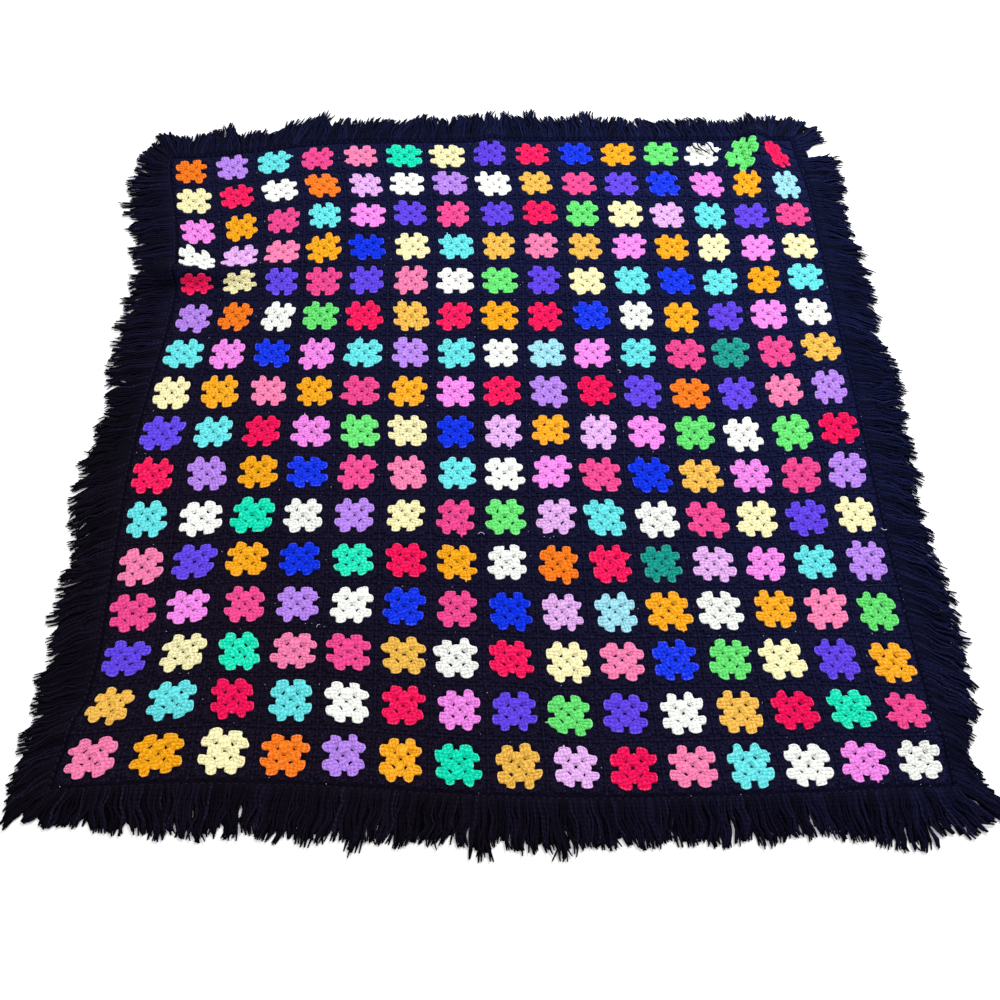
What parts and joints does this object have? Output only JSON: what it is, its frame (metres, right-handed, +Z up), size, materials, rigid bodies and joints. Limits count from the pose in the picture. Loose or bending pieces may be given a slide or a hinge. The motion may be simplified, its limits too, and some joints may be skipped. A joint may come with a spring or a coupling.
{
  "type": "granny square blanket with knotted fringe",
  "caption": "Flat crocheted blanket of small joined granny squares in bright yarns set in black, with a knotted black fringe along all four edges.",
  "frame": {"origin": "on the surface that the blanket lies on, under the middle of its box", "axes": "+Z up; +Y from the front fringe to the back one, along the rows' longer direction; +X to the right"},
  "size_m": [1.3135, 1.3795, 0.0288],
  "materials": {
    "squares_yarn": "matt acrylic crochet in many bright colours",
    "black_yarn": "matt near-black acrylic yarn"
  },
  "bodies": {
    "root": {"granny_squares": "squares_yarn", "fringe_front": "black_yarn", "fringe_right": "black_yarn", "fringe_back": "black_yarn", "fringe_left": "black_yarn"}
  },
  "joints": []
}
